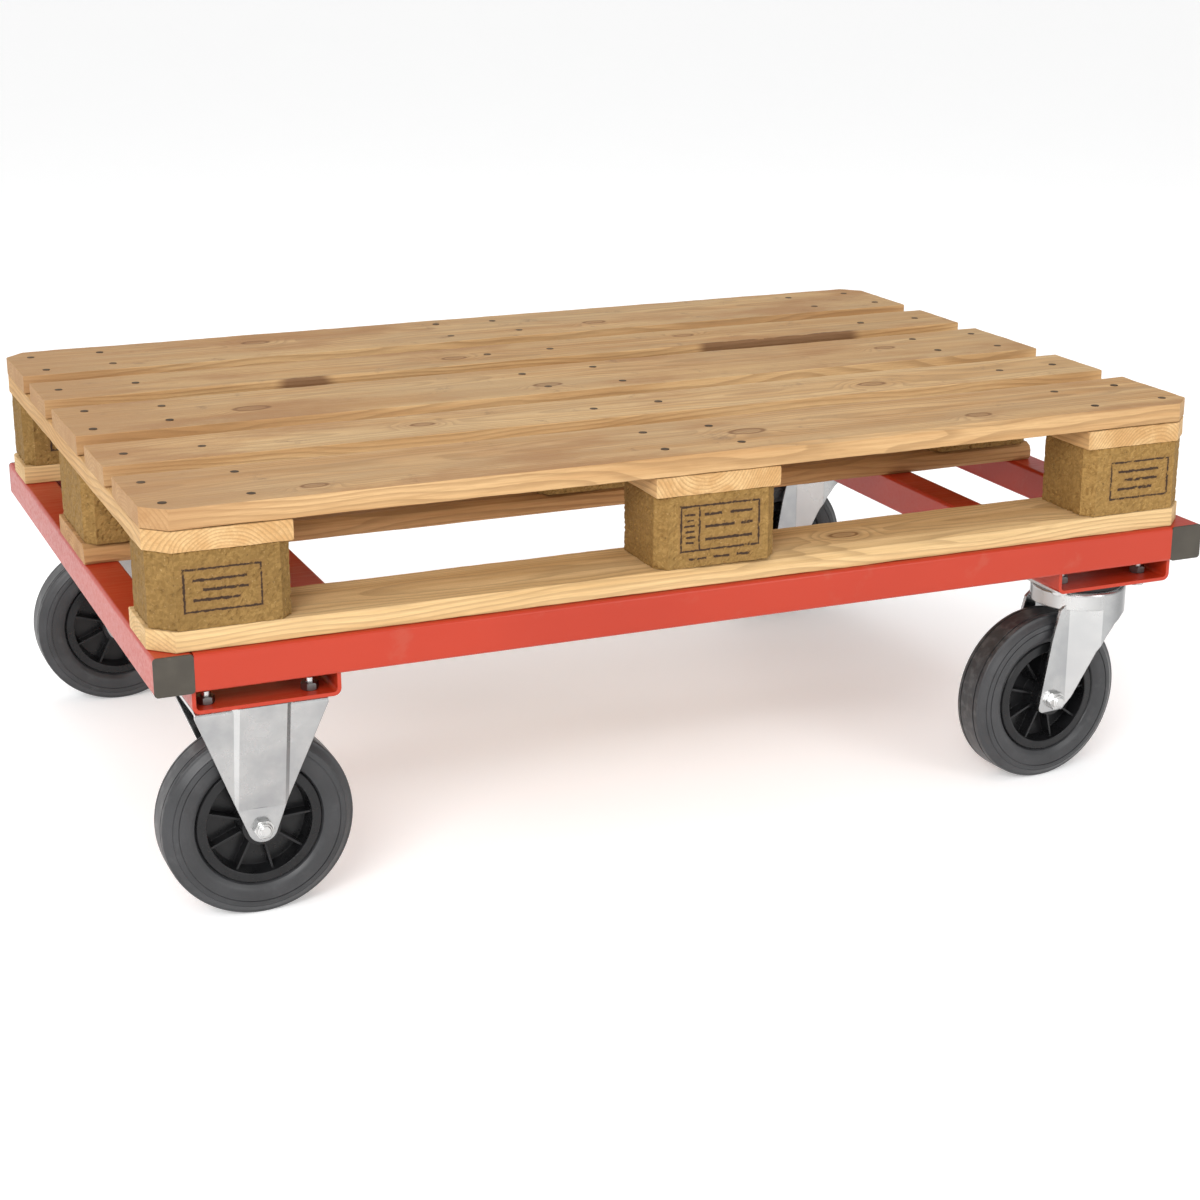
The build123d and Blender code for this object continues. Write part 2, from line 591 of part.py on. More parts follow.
wide_blocks = [pallet_piece(x, 0, BOARD, *wide_size) for x in PALLET_COLUMNS]
save("middle_blocks", *wide_blocks)
edge_boards = [pallet_piece(0, y, 0, PALLET_LENGTH, NARROW, BOARD) for y in edge_rows]
save("outer_bottom_boards", *edge_boards)
save("middle_bottom_board", pallet_piece(0, 0, 0, PALLET_LENGTH, WIDE, BOARD))
save("pallet_nails", *[PALLET_PLACE * one for one in NAILS])
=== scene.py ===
"""Looks of the pallet dolly: red tube chassis, zinc castors and a worn wooden pallet."""
import json
import math
import random
from functools import reduce

import bpy
import numpy as np
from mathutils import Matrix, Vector


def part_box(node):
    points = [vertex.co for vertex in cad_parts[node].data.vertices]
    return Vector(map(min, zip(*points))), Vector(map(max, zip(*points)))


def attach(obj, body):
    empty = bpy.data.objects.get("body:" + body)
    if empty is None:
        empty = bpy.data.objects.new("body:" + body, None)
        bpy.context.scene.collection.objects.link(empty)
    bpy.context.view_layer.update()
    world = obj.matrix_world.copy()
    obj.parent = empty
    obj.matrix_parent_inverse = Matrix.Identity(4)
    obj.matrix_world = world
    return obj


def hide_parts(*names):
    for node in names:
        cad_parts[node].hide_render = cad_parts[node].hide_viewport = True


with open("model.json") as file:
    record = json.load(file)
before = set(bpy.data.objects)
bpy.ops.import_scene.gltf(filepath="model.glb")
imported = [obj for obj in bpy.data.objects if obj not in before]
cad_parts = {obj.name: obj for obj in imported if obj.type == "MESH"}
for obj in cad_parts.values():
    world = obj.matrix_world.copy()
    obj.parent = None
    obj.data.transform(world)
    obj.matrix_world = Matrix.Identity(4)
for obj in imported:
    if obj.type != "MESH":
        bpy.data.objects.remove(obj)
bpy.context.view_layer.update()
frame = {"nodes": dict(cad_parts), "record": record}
nodes = frame["nodes"]
MM = 0.001


# ---------------------------------------------------------------- shader graphs

class Graph:
    """A node tree, with short ways to add what the looks need."""

    def __init__(self, tree, coordinate):
        self.tree = tree
        self.place = self.node("ShaderNodeTexCoord").outputs[coordinate]

    def node(self, kind, inputs=None, **settings):
        made = self.tree.nodes.new(kind)
        for key, value in settings.items():
            setattr(made, key, value)
        for key, value in (inputs or {}).items():
            self.put(made.inputs[key], value)
        return made

    def put(self, socket, value):
        """Link what comes from another node, and set anything else as a constant."""
        if isinstance(value, bpy.types.NodeSocket):
            self.tree.links.new(value, socket)
        elif socket.type == "RGBA":
            socket.default_value = (*value, 1.0)
        else:
            socket.default_value = value

    def math(self, operation, *terms):
        return self.node("ShaderNodeMath", dict(enumerate(terms)), operation=operation).outputs[0]

    def plus(self, a, b):
        return self.math("ADD", a, b)

    def minus(self, a, b):
        return self.math("SUBTRACT", a, b)

    def times(self, a, b):
        return self.math("MULTIPLY", a, b)

    def size_of(self, a):
        return self.math("ABSOLUTE", a)

    def highest(self, values):
        return reduce(lambda a, b: self.math("MAXIMUM", a, b), values)

    def lowest(self, values):
        return reduce(lambda a, b: self.math("MINIMUM", a, b), values)

    def length(self, a, b):
        """The length of the plane vector (a, b)."""
        return self.math("SQRT", self.plus(self.times(a, a), self.times(b, b)))

    def stretch(self, scale, move=(0, 0, 0), vector=None):
        inputs = {"Vector": vector or self.place, "Location": move, "Scale": scale}
        return self.node("ShaderNodeMapping", inputs).outputs[0]

    def noise(self, scale, vector=None, detail=4.0, rough=0.55):
        inputs = {"Vector": vector or self.place, "Scale": scale, "Detail": detail, "Roughness": rough}
        return self.node("ShaderNodeTexNoise", inputs).outputs[0]

    def cells(self, scale, vector=None):
        inputs = {"Vector": vector or self.place, "Scale": scale}
        return self.node("ShaderNodeTexVoronoi", inputs).outputs

    def span(self, value, low, high, to_low=0.0, to_high=1.0, curve="SMOOTHSTEP"):
        """value from low..high to to_low..to_high, clamped."""
        inputs = {0: value, 1: low, 2: high, 3: to_low, 4: to_high}
        return self.node("ShaderNodeMapRange", inputs, interpolation_type=curve).outputs[0]

    def mix(self, factor, a, b):
        """Colour a where factor is 0 and colour b where it is 1."""
        return self.node("ShaderNodeMix", {0: factor, 6: a, 7: b}, data_type="RGBA").outputs[2]

    def split(self, vector):
        return self.node("ShaderNodeSeparateXYZ", {0: vector}).outputs

    def join(self, x, y, z):
        return self.node("ShaderNodeCombineXYZ", {0: x, 1: y, 2: z}).outputs[0]


class Surface(Graph):
    """The node tree of a new material."""

    def __init__(self, name):
        self.material = bpy.data.materials.new(name)
        self.material.use_nodes = True
        super().__init__(self.material.node_tree, "Object")
        self.shader = self.tree.nodes["Principled BSDF"]

    def shade(self, **values):
        for key, value in values.items():
            self.put(self.shader.inputs[key.replace("_", " ")], value)

    def facing(self, axis):
        """The part of the surface's normal along axis 0, 1 or 2."""
        return self.split(self.node("ShaderNodeNewGeometry").outputs["Normal"])[axis]

    def rounded(self, radius):
        """Normals that round the sharp edges of a machined or moulded piece."""
        return self.node("ShaderNodeBevel", {"Radius": radius}, samples=6).outputs[0]

    def bump(self, height, strength, distance, under=None):
        inputs = {"Height": height, "Strength": strength, "Distance": distance}
        if under is not None:
            inputs["Normal"] = under
        return self.node("ShaderNodeBump", inputs).outputs[0]


def scaled(colour, factor, brightest=0.95):
    return tuple(min(brightest, factor * c) for c in colour)


# ---------------------------------------------------------------- metal, rubber and plastic

PAINT_DARK = (0.36, 0.024, 0.006)
PAINT_LIGHT = (0.41, 0.030, 0.008)
PAINT_SCUFFED = (0.20, 0.020, 0.012)
PAINT_DUST = (0.36, 0.20, 0.14)
RUBBER_DARK = (0.020, 0.0205, 0.022)
RUBBER_LIGHT = (0.036, 0.0365, 0.039)
RUBBER_BLOOM = (0.075, 0.075, 0.077)
TREAD_WORN = (0.070, 0.070, 0.070)
TREAD_RADIUS = (0.0985, 0.0998)


def red_paint():
    """Satin paint on the welded tubes, with scuffs along them, a little dust and orange peel."""
    g = Surface("red_paint")
    tone = g.noise(2.5, detail=3.0)
    streaks = g.noise(1.0, g.stretch((14, 160, 260)), detail=5.0, rough=0.65)
    scuff = g.times(g.span(streaks, 0.66, 0.78), g.span(g.noise(9.0), 0.50, 0.70))
    dust = g.span(g.noise(30.0, detail=6.0), 0.60, 0.75)
    base = g.mix(g.span(tone, 0.3, 0.7), PAINT_DARK, PAINT_LIGHT)
    base = g.mix(g.times(scuff, 0.45), base, PAINT_SCUFFED)
    base = g.mix(g.times(dust, 0.10), base, PAINT_DUST)
    peel = g.bump(g.noise(190.0, detail=2.0), 0.10, 0.0006, g.rounded(0.0008))
    skin = g.bump(g.span(g.cells(420)["Distance"], 0.0, 0.20), 0.04, 0.0004, peel)
    g.shade(Base_Color=base, Roughness=g.span(streaks, 0.3, 0.8, 0.30, 0.46), Normal=skin)
    g.shade(Coat_Weight=0.12, Coat_Roughness=0.20, Specular_IOR_Level=0.32)
    return g.material


def zinc(name, base_a, base_b, rough, edge):
    """Bright zinc plating, with the faint cloudiness of its passivation.

    Painted shade darkens the colour of faces turned to +X, and painted light brightens faces turned to -X,
    as in a room lit from the left.
    """
    g = Surface(name)
    cloud = g.noise(22.0, detail=5.0, rough=0.6)
    rolled = g.noise(1.0, g.stretch((900, 900, 12)), detail=3.0)
    spots = g.span(g.noise(70.0, detail=6.0), 0.64, 0.80)
    turned = g.facing(0)
    base = g.mix(g.span(cloud, 0.3, 0.72), base_a, base_b)
    base = g.mix(g.times(spots, 0.20), base, scaled(base_a, 0.72))
    base = g.mix(g.span(turned, 0.06, 0.62, 0.0, 0.62), base, scaled(base_a, 0.25))
    base = g.mix(g.span(turned, -0.60, -0.08, 0.36, 0.0), base, scaled(base_b, 1.8))
    clouded = g.span(cloud, 0.25, 0.75, rough - 0.05, rough + 0.08)
    skin = g.bump(rolled, 0.05, 0.0003, g.rounded(edge))
    skin = g.bump(cloud, 0.05, 0.002, skin)
    g.shade(Base_Color=base, Metallic=1.0, Roughness=g.plus(clouded, g.times(rolled, 0.05)), Normal=skin)
    return g.material


def plastic(name, dark, light, rough, edge=0.0006, grain=900.0):
    """Moulded plastic or rubber with a fine grain and some dust."""
    g = Surface(name)
    tone = g.noise(35.0, detail=5.0)
    fine = g.noise(grain, detail=2.0)
    dust = g.span(g.noise(120.0, detail=7.0, rough=0.7), 0.60, 0.72)
    base = g.mix(g.span(tone, 0.35, 0.75), dark, light)
    base = g.mix(g.times(dust, 0.25), base, scaled(light, 2.2))
    g.shade(Base_Color=base, Roughness=g.span(tone, 0.3, 0.8, rough - 0.06, rough + 0.10))
    g.shade(Normal=g.bump(fine, 0.10, 0.0003, g.rounded(edge)), Specular_IOR_Level=0.32)
    return g.material


def tyre_rubber(name, centre, turn):
    """Grey-black rubber with the fine turned lines of its mould round the wheel's centre."""
    g = Surface(name)
    moved = g.node("ShaderNodeMapping", {"Vector": g.place, "Location": [-c for c in centre]})
    local = g.node("ShaderNodeMapping", {"Vector": moved.outputs[0], "Rotation": (0, 0, -turn)})
    x, _, z = g.split(local.outputs[0])[0:3]
    radius = g.length(x, z)
    lines = g.noise(1.0, g.join(g.times(radius, 900.0), 0.0, 0.0), detail=2.0)
    cloud = g.noise(18.0, detail=6.0, rough=0.65)
    bloom = g.span(g.noise(55.0, detail=7.0, rough=0.7), 0.52, 0.75)
    worn = g.times(g.span(radius, *TREAD_RADIUS), g.span(g.noise(90.0, detail=5.0), 0.45, 0.7))
    base = g.mix(g.span(cloud, 0.3, 0.75), RUBBER_DARK, RUBBER_LIGHT)
    base = g.mix(g.times(bloom, 0.30), base, RUBBER_BLOOM)
    base = g.mix(worn, base, TREAD_WORN)
    skin = g.bump(lines, 0.18, 0.0005)
    skin = g.bump(g.noise(700.0, detail=3.0), 0.12, 0.0004, skin)
    g.shade(Base_Color=base, Roughness=g.span(cloud, 0.25, 0.8, 0.34, 0.50), Normal=skin)
    g.shade(Specular_IOR_Level=0.5)
    return g.material


# ---------------------------------------------------------------- wood and chipboard

WEATHERED = (0.37, 0.26, 0.145)
STAIN = (0.17, 0.105, 0.060)
SMUDGE = (0.31, 0.155, 0.062)
END_TAN = (0.36, 0.195, 0.085)
KNOT = (0.17, 0.075, 0.027)
BARK = (0.13, 0.058, 0.024)
BARK_EDGE = (0.0175, 0.0190)
CHIP_LIGHT = (0.335, 0.200, 0.064)
CHIP_MIDDLE = (0.240, 0.136, 0.039)
CHIP_DARK = (0.085, 0.045, 0.018)
CHIP_BRIGHT = (0.50, 0.34, 0.165)
SCORCHED = (0.19, 0.095, 0.035)
BURNT = (0.028, 0.016, 0.012)


def bend_round_knots(g, heart, along, across, knots):
    """The distance from the heart, swirled round each knot, and the mask of the knots themselves."""
    cores = []
    for place_along, place_across, radius in knots:
        far = g.length(g.times(g.minus(along, place_along), 0.55), g.minus(across, place_across))
        heart = g.plus(heart, g.span(far, 0.2 * radius, 3.2 * radius, 0.016, 0.0))
        core = g.span(far, 0.80 * radius, 1.0 * radius, 0.40, 0.0)
        inner = g.span(far, 0.55 * radius, 0.85 * radius)
        outer = g.span(far, 0.90 * radius, 1.15 * radius, 1.0, 0.0)
        cores.append(g.highest([core, g.times(g.times(inner, outer), 0.85)]))
    return heart, g.highest(cores) if cores else None


def weathered(g, base, along, cloud, seed, weather, tint):
    """The colour of a deck board: greyed, stained and smudged on its top face, tanned at its left end."""
    top = g.span(g.facing(2), 0.6, 0.9)
    worn = g.times(g.times(top, g.span(cloud, 0.36, 0.66)), 0.7 * weather)
    base = g.mix(worn, base, tint)
    stain = g.times(g.span(g.noise(23.0, detail=8.0, rough=0.75), 0.57, 0.72), g.times(top, 0.62))
    base = g.mix(stain, base, STAIN)
    smudge = g.noise(1.0, g.stretch((4, 11, 11), (seed * 3, seed, 0)), detail=6.0, rough=0.6)
    base = g.mix(g.times(g.span(smudge, 0.50, 0.66), g.times(top, 0.70)), base, SMUDGE)
    end = g.span(g.math("MULTIPLY_ADD", smudge, 0.16, along), -0.52, -0.34, 0.55, 0.0)
    return g.mix(end, base, END_TAN)


def bark_mask(g, along, across, drift, seed, edge, stretches):
    """Where the board's low edge, at edge, keeps its bark: near each (middle, half length)."""
    ripple = g.noise(45.0, g.stretch((0.6, 1, 1), (seed, 0, 0)), detail=6.0)
    ragged = g.math("MULTIPLY_ADD", ripple, 0.022, across)
    near = g.span(ragged, edge + BARK_EDGE[0], edge + BARK_EDGE[1], 1.0, 0.0)
    parts = []
    for middle, half in stretches:
        away = g.math("MULTIPLY_ADD", drift, 0.12, g.size_of(g.minus(along, middle)))
        parts.append(g.span(away, half, half + 0.02, 1.0, 0.0))
    return g.times(near, g.highest(parts))


def wood(
    name, light, dark, grain, pith, seed,
    weather=0.0, knots=(), ring=0.0042, tint=WEATHERED, bark=None,
):
    """Solid sawn softwood: year rings round a pith line, fibres along it, knots and weathering.

    grain is the axis of the log, "x" or "y"; pith is the place of its heart on the other two axes.
    bark is an edge left dark: its place across the board and the (middle, half length) of each stretch.
    """
    g = Surface(name)
    x, y, z = g.split(g.place)[0:3]
    along, across = (x, y) if grain == "x" else (y, x)

    def fibrous(scale, lengthwise, crosswise, move, **settings):
        """Noise drawn out along the grain."""
        stretch = (lengthwise, crosswise, crosswise)
        if grain == "y":
            stretch = (crosswise, lengthwise, crosswise)
        return g.noise(scale, g.stretch(stretch, move), **settings)

    drift = fibrous(1.0, 2.2, 9.0, (seed, seed * 0.7, 0), detail=2.0)
    heart = g.length(g.minus(across, pith[0]), g.minus(z, pith[1]))
    heart = g.plus(heart, g.times(drift, 0.040))
    heart, knot_mask = bend_round_knots(g, heart, along, across, knots)
    phase = g.math("FRACT", g.math("DIVIDE", heart, ring))
    late = g.times(g.span(phase, 0.35, 0.90), g.span(phase, 0.93, 1.0, 1.0, 0.0))
    fibre = fibrous(1.0, 16.0, 520.0, (seed, 0, seed), detail=5.0, rough=0.7)
    broad = fibrous(1.0, 1.6, 38.0, (0, seed, 0), detail=4.0, rough=0.6)
    cloud = fibrous(7.0, 0.5, 1.6, (seed, seed, 0), detail=7.0, rough=0.68)
    base = g.mix(g.span(broad, 0.34, 0.66), light, dark)
    base = g.mix(g.times(late, 0.46), base, scaled(dark, 0.55))
    base = g.mix(g.span(fibre, 0.35, 0.74, 0.0, 0.42), base, scaled(dark, 0.62))
    if weather:
        base = weathered(g, base, along, cloud, seed, weather, tint)
    else:
        base = g.mix(g.span(cloud, 0.52, 0.80, 0.0, 0.40), base, tint)
    if knot_mask:
        base = g.mix(knot_mask, base, KNOT)
    if bark:
        base = g.mix(g.times(bark_mask(g, along, across, drift, seed, *bark), 0.85), base, BARK)
    skin = g.bump(g.plus(g.times(fibre, 0.7), g.times(late, 0.30)), 0.34, 0.0012)
    skin = g.bump(g.noise(420.0, detail=4.0, rough=0.6), 0.12, 0.0005, skin)
    g.shade(Base_Color=base, Roughness=g.span(fibre, 0.3, 0.8, 0.62, 0.82), Normal=skin)
    g.shade(Specular_IOR_Level=0.25)
    return g.material


def burn_in(g, base, x, z, centre_x, centre_z, bars):
    """The colour of the chips with bars (x, z, half length, half height) burnt into the long sides.

    The bars are in millimetres from the mark's centre.
    """
    distances = []
    for bar_x, bar_z, half_x, half_z in bars:
        away_x = g.size_of(g.minus(x, centre_x + bar_x * MM))
        away_z = g.size_of(g.minus(z, centre_z + bar_z * MM))
        distances.append(g.highest([g.minus(away_x, half_x * MM), g.minus(away_z, half_z * MM)]))
    worn = g.times(g.minus(g.noise(260.0, detail=3.0), 0.5), 0.0030)
    nearest = g.plus(g.lowest(distances), worn)
    side = g.span(g.size_of(g.facing(1)), 0.7, 0.9)
    base = g.mix(g.times(g.span(nearest, 0.0, 0.0045, 0.30, 0.0), side), base, SCORCHED)
    return g.mix(g.times(g.span(nearest, -0.0003, 0.0006, 0.93, 0.0), side), base, BURNT)


def chipboard(name, shade, seed, mark=None):
    """Pressed wood chips, with a plain burnt pattern of bars on the long sides where mark is given."""
    g = Surface(name)
    x, y, z = g.split(g.place)[0:3]
    bend = g.noise(60.0, g.stretch((1, 1, 1), (seed, 0, 0)), detail=2.0)
    warped_x = g.math("MULTIPLY_ADD", bend, 0.010, x)
    warped_z = g.math("MULTIPLY_ADD", bend, 0.014, z)
    warped = g.join(warped_x, y, warped_z)
    chip_tone = g.split(g.cells(400.0, warped)["Color"])[0]
    flake_tone = g.split(g.cells(170.0, g.stretch((1.0, 1.0, 2.4), vector=warped))["Color"])[1]
    middle = scaled(CHIP_MIDDLE, shade)
    base = g.mix(chip_tone, middle, scaled(CHIP_LIGHT, shade))
    base = g.mix(g.times(g.span(flake_tone, 0.35, 0.9), 0.45), base, scaled(middle, 0.85))
    base = g.mix(g.span(g.noise(15.0, detail=5.0), 0.35, 0.75, 0.0, 0.40), base, scaled(middle, 0.8))
    gaps = g.span(g.noise(240.0, detail=4.0, rough=0.7), 0.64, 0.70)
    base = g.mix(g.times(gaps, 0.75), base, scaled(CHIP_DARK, shade))
    bright = g.span(g.noise(330.0, detail=4.0, rough=0.6), 0.63, 0.72)
    base = g.mix(g.times(bright, 0.45), base, CHIP_BRIGHT)
    if mark:
        base = burn_in(g, base, x, z, *mark)
    skin = g.bump(g.minus(g.times(chip_tone, 0.5), gaps), 0.50, 0.0008)
    g.shade(Base_Color=base, Roughness=0.85, Normal=skin, Specular_IOR_Level=0.2)
    return g.material


# ---------------------------------------------------------------- meshes

WANDER_KNOTS = 400
LUMP_WAVES = 9
EDGES = ("low_top", "high_top", "low_bottom", "high_bottom")
EDGE_LEAST = 0.5
EDGE_WEAR = 0.7
EDGE_LIMIT = 0.45
EDGE_MIDDLE = (0.28, 0.42)
SIDE_SWAY = 0.9
END_STEPS = (0.8, 2.5)
END_SHRINK = 0.8
STATION_PITCH = 9
FACE_POINTS = 14
SIDE_POINTS = 5
DENT_FADE = 3
BLOCK_PITCH = 2.6
BLOCK_LEVELS = 27
BLOCK_END_STEPS = (1.2, 3.5)
BLOCK_CHAMFER = 12.0
CORNER_SHARE = 0.7
BLOCK_LEAST = 0.25
PIT_LEVEL = 0.74
PIT_SLOPE = 9
PIT_DEPTH = 1.6
CRUMBLE_ZONE = 3.0


def make_mesh(name, points, faces, material, slot):
    data = bpy.data.meshes.new(name)
    data.from_pydata([tuple(p) for p in points], [], faces)
    data.materials.append(material)
    data.validate()
    data.update()
    data.polygons.foreach_set("use_smooth", [False] * len(data.polygons))
    made = bpy.data.objects.new(name, data)
    bpy.context.scene.collection.objects.link(made)
    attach(made, "pallet")
    return made


def skin_rings(rings):
    """Points and faces of a closed body from equal rings of points, with a flat end on each end."""
    count = len(rings[0])
    points = [p for one in rings for p in one]
    faces = []
    for i in range(len(rings) - 1):
        for j in range(count):
            k = (j + 1) % count
            faces.append((i * count + j, i * count + k, (i + 1) * count + k, (i + 1) * count + j))
    faces.append(tuple(range(count - 1, -1, -1)))
    last = (len(rings) - 1) * count
    faces.append(tuple(last + j for j in range(count)))
    return points, faces


def wander(seed, period, reach):
    """A smooth random function of one length, between 0 and reach."""
    draw = random.Random(seed)
    heights = [draw.random() for _ in range(WANDER_KNOTS)]

    def value(t):
        place = (t + WANDER_KNOTS / 2 * period) / period
        low = int(math.floor(place)) % (WANDER_KNOTS - 1)
        part = place - math.floor(place)
        part = part * part * (3 - 2 * part)
        return reach * (heights[low] * (1 - part) + heights[low + 1] * part)

    return value


def lump(points, seed, size, reach):
    """Noise for an array of points, from a few crossed waves: 0..reach."""
    draw = np.random.default_rng(seed)
    total = np.zeros(len(points))
    for _ in range(LUMP_WAVES):
        way = draw.normal(size=3)
        way /= np.linalg.norm(way) * size * (0.4 + 0.9 * draw.random())
        total += np.sin(2 * math.pi * points @ way + draw.random() * 7)
    return reach * (0.5 + np.clip(total / LUMP_WAVES, -0.5, 0.5))


def board_section(a, b, bottom, top, cut, shrink):
    """The outline across a board from a to b, its four long edges worn by cut (across, down)."""
    low_top, high_top, low_bottom, high_bottom = (cut[key] for key in EDGES)
    inward, downward = EDGE_MIDDLE
    left = np.linspace(bottom + low_bottom[1], top - low_top[1], SIDE_POINTS)
    right = np.linspace(top - high_top[1], bottom + high_bottom[1], SIDE_POINTS)
    upper = np.linspace(a + low_top[0], b - high_top[0], FACE_POINTS)
    lower = np.linspace(b - high_bottom[0], a + low_bottom[0], FACE_POINTS)
    ring = [(a, top - low_top[1]), (a + inward * low_top[0], top - downward * low_top[1])]
    ring += [(t, top - shrink / 2) for t in upper]
    ring += [(b - inward * high_top[0], top - downward * high_top[1]), (b, top - high_top[1])]
    ring += [(b, h) for h in right[1:-1]]
    ring += [(b, bottom + high_bottom[1])]
    ring += [(t, bottom + shrink / 2) for t in lower]
    ring += [(a, bottom + low_bottom[1])]
    ring += [(a, h) for h in left[1:-1]]
    return ring


def dent_board(flat, seed, side_low, side_high, bottom, top):
    """Press soft dents into the points (along, across, up) of a board's faces."""
    dent = lump(flat * [0.25, 1, 1], seed, 26, 0.55) + lump(flat * [0.5, 1, 1], seed + 3, 9, 0.25)
    for column, low, high in ((2, bottom, top), (1, side_low, side_high)):
        away = flat[:, column] - (low + high) / 2
        near = np.clip((np.abs(away) - (high - low) / 2 + DENT_FADE) / DENT_FADE, 0, 1)
        flat[:, column] -= np.sign(away) * dent * near


def board(name, low, high, grain, material, slot, seed, corner=(0, 0, 0, 0), wane=None):
    """A sawn board in the box low..high, in millimetres, with soft worn edges.

    corner is the plan chamfer at (low, low), (low, high), (high, low), (high, high) in (along, across).
    wane maps an edge, "low_top" or "low_bottom" and so on, to a function of the place along the board
    that gives how much bark-side edge is missing: (across, down).
    """
    axis = 0 if grain == "x" else 1
    start, end = low[axis], high[axis]
    side_low, side_high = low[1 - axis], high[1 - axis]
    bottom, top = low[2], high[2]
    stations = sorted(set(
        [start, end]
        + [start + step for step in END_STEPS]
        + [end - step for step in END_STEPS]
        + [start + corner[0], start + corner[1], end - corner[2], end - corner[3]]
        + list(np.linspace(start, end, int((end - start) / STATION_PITCH) + 2))
    ))
    worn = {key: wander(seed * 10 + i, 60 + 17 * i, EDGE_WEAR) for i, key in enumerate(EDGES)}
    sway = [wander(seed * 10 + 5 + i, 170, SIDE_SWAY) for i in range(2)]
    rings = []
    for s in stations:
        inset_low = max(0.0, corner[0] - (s - start), corner[2] - (end - s)) + sway[0](s)
        inset_high = max(0.0, corner[1] - (s - start), corner[3] - (end - s)) + sway[1](s)
        a, b = side_low + inset_low, side_high - inset_high
        shrink = END_SHRINK if s in (start, end) else 0.0
        cut = {}
        for key in EDGES:
            across = down = EDGE_LEAST + worn[key](s) + shrink
            if wane and key in wane:
                more = wane[key](s)
                across, down = across + more[0], down + more[1]
            cut[key] = (min(across, EDGE_LIMIT * (b - a)), min(down, EDGE_LIMIT * (top - bottom)))
        rings.append([(s, q, r) for q, r in board_section(a, b, bottom, top, cut, shrink)])
    flat = np.array([p for one in rings for p in one])
    dent_board(flat, seed, side_low, side_high, bottom, top)
    if axis == 1:
        flat = flat[:, [1, 0, 2]]
    count = len(rings[0])
    points, faces = skin_rings([flat[i * count:(i + 1) * count] * MM for i in range(len(rings))])
    if axis == 0:
        faces = [tuple(reversed(f)) for f in faces]
    return make_mesh(name, points, faces, material, slot)


def block(name, low, high, material, seed, corner=(BLOCK_CHAMFER,) * 4):
    """A pressed chipboard block in the box low..high, in millimetres, pitted and crumbled at its edges.

    corner is the chamfer at (x low, y low), (x high, y low), (x high, y high), (x low, y high).
    """
    x0, y0, z0 = low
    x1, y1, z1 = high
    c = corner
    plan = [
        (x0 + c[0], y0), (x1 - c[1], y0), (x1, y0 + c[1]), (x1, y1 - c[2]),
        (x1 - c[2], y1), (x0 + c[3], y1), (x0, y1 - c[3]), (x0, y0 + c[0]),
    ]
    ring = []
    outward = []
    for p, q in zip(plan, plan[1:] + plan[:1]):
        length = math.dist(p, q)
        steps = max(2, int(length / BLOCK_PITCH))
        normal = np.array([q[1] - p[1], p[0] - q[0]]) / length
        for k in range(steps):
            t = k / steps
            ring.append((p[0] + t * (q[0] - p[0]), p[1] + t * (q[1] - p[1])))
            outward.append(normal if k else normal * CORNER_SHARE)
    ring = np.array(ring)
    outward = np.array(outward)
    near, far = BLOCK_END_STEPS
    levels = [z0, z0 + near, *np.linspace(z0 + far, z1 - far, BLOCK_LEVELS), z1 - near, z1]
    rings = []
    for z in levels:
        flat = np.column_stack([ring, np.full(len(ring), z)])
        dent = lump(flat, seed, 11, 0.5) + lump(flat, seed + 1, 5.5, 0.45)
        pits = np.clip(lump(flat, seed + 2, 7, 1.0) - PIT_LEVEL, 0, 1) * PIT_SLOPE
        near_end = max(0.0, 1 - min(z - z0, z1 - z) / CRUMBLE_ZONE)
        crumble = 0.9 * near_end * lump(flat, seed + 5, 9, 1.6)
        inward = BLOCK_LEAST + dent + np.minimum(pits, PIT_DEPTH) + crumble
        flat[:, 0:2] -= outward * inward[:, None]
        rings.append(flat * MM)
    return make_mesh(name, *skin_rings(rings), material, "chipboard")


# ---------------------------------------------------------------- the pallet

CHAMFER = 24.0
BOARD_HALF = 72.5
BLOCK_HALF = 70.0
SIDE_WIDTH = 100
BARK_BOARD = 4
BARK_SPOTS = [(330, 170), (-300, 80)]
DECK_LOOKS = [
    {
        "light": (0.57, 0.365, 0.175), "dark": (0.44, 0.245, 0.100),
        "weather": 0.75, "pith": (0.02, -0.050),
        "knots": ((-0.43, -0.372, 0.008), (0.06, -0.335, 0.012), (0.33, -0.365, 0.009)),
    },
    {
        "light": (0.60, 0.400, 0.200), "dark": (0.49, 0.290, 0.125),
        "weather": 0.50, "pith": (0.00, -0.070),
        "knots": ((-0.25, -0.17, 0.008), (0.30, -0.18, 0.010)),
    },
    {
        "light": (0.56, 0.365, 0.175), "dark": (0.44, 0.250, 0.105),
        "weather": 0.70, "pith": (0.03, -0.045),
        "knots": ((-0.40, -0.02, 0.012), (-0.05, -0.035, 0.010), (0.42, 0.00, 0.008)),
    },
    {
        "light": (0.54, 0.345, 0.160), "dark": (0.41, 0.225, 0.090),
        "weather": 0.65, "pith": (-0.02, -0.060),
        "knots": ((-0.10, 0.15, 0.009), (0.22, 0.17, 0.008)),
    },
    {
        "light": (0.56, 0.370, 0.180), "dark": (0.43, 0.245, 0.105),
        "weather": 0.70, "pith": (0.01, -0.050),
        "knots": ((-0.30, 0.34, 0.010), (0.15, 0.30, 0.009)),
    },
]
STRINGER_LOOK = {"light": (0.64, 0.42, 0.20), "dark": (0.52, 0.30, 0.12), "tint": (0.42, 0.26, 0.12)}
STRINGER_PITHS = [(0.01, -0.060), (-0.02, 0.030), (0.015, -0.055)]
BOTTOM_LOOK = {"light": (0.68, 0.47, 0.235), "dark": (0.56, 0.355, 0.155), "tint": (0.46, 0.30, 0.15)}
